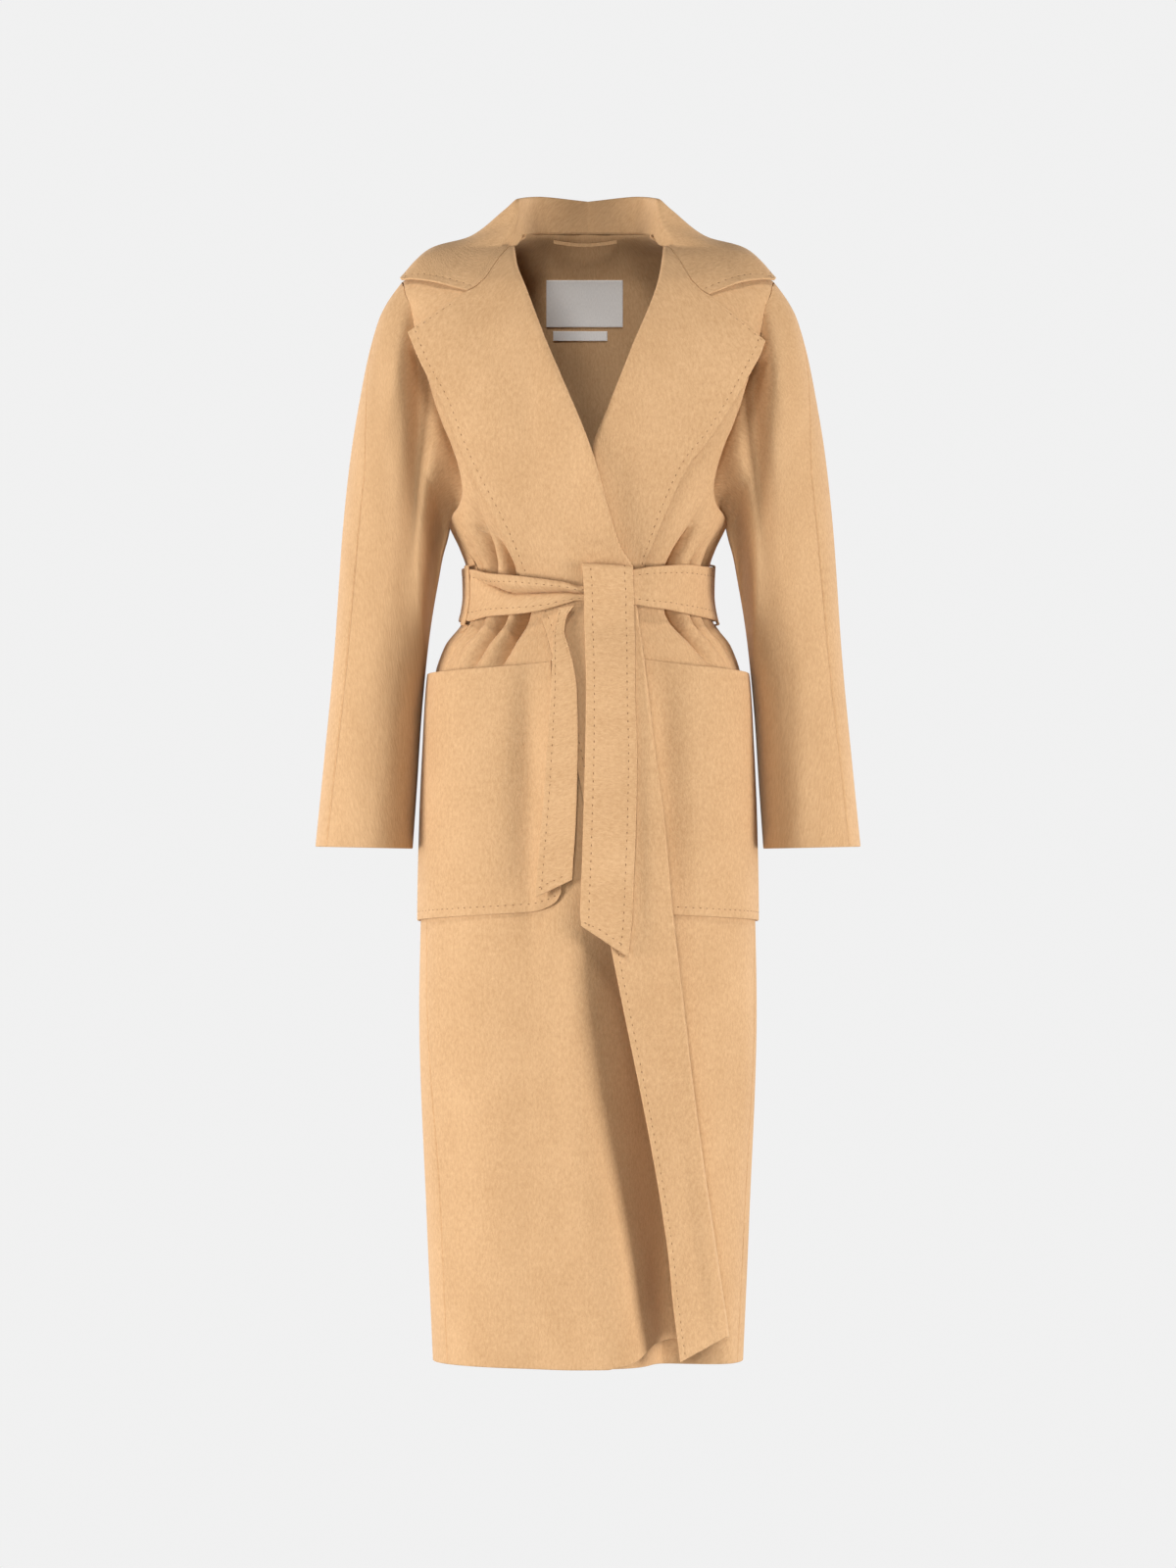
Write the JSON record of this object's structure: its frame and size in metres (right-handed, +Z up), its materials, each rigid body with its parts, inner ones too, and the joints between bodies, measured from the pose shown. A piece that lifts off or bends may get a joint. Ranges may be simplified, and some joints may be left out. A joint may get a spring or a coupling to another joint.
{
  "type": "belted wrap coat",
  "caption": "Long wrap coat in camel wool, filled out as if worn: notched collar, turned-back front edge, kimono sleeves, patch pockets and a knotted belt. Hollow, open at neck, cuffs and hem.",
  "frame": {"origin": "centre of the neck, level with the points where the collar meets the lapel rolls", "axes": "X to the wearer's left, Y to the back, Z up along the coat's length"},
  "size_m": [0.556, 0.2891, 1.1914],
  "materials": {
    "camel_wool": "double-faced wool, short brushed nap",
    "satin_label": "woven satin ribbon, blank"
  },
  "bodies": {
    "root": {"front_right": "camel_wool", "front_left": "camel_wool", "back_left": "camel_wool", "back_right": "camel_wool", "sleeve_right_front": "camel_wool", "sleeve_right_back": "camel_wool", "sleeve_left_front": "camel_wool", "sleeve_left_back": "camel_wool", "collar": "camel_wool", "pocket_right": "camel_wool", "pocket_left": "camel_wool", "belt_band": "camel_wool", "belt_end_long": "camel_wool", "belt_end_short": "camel_wool", "belt_keeper_right": "camel_wool", "belt_keeper_left": "camel_wool", "neck_label": "satin_label", "care_label": "satin_label", "hanger_loop": "camel_wool"}
  },
  "joints": []
}
